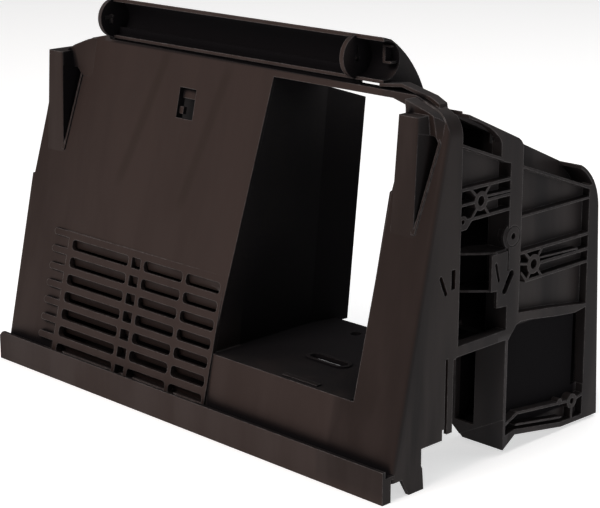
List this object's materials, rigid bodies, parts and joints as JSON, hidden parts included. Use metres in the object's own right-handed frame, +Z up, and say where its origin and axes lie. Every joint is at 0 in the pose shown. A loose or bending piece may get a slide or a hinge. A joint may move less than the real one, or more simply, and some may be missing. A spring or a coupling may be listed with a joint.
{
  "type": "moulded plastic housing",
  "caption": "One-piece moulded plastic housing with a leaning louvred front panel, a passage beside it, a half-round top channel and a ribbed side duct.",
  "frame": {"origin": "centre of the bounding box, on the level that the part stands on", "axes": "+X to the right seen from the front, +Y to the back, +Z up; the louvred panel faces -Y"},
  "size_m": [0.4, 0.2234, 0.2795],
  "materials": {
    "housing_plastic": "satin moulded thermoplastic, brown-black"
  },
  "bodies": {
    "root": {"housing": "housing_plastic"}
  },
  "joints": []
}
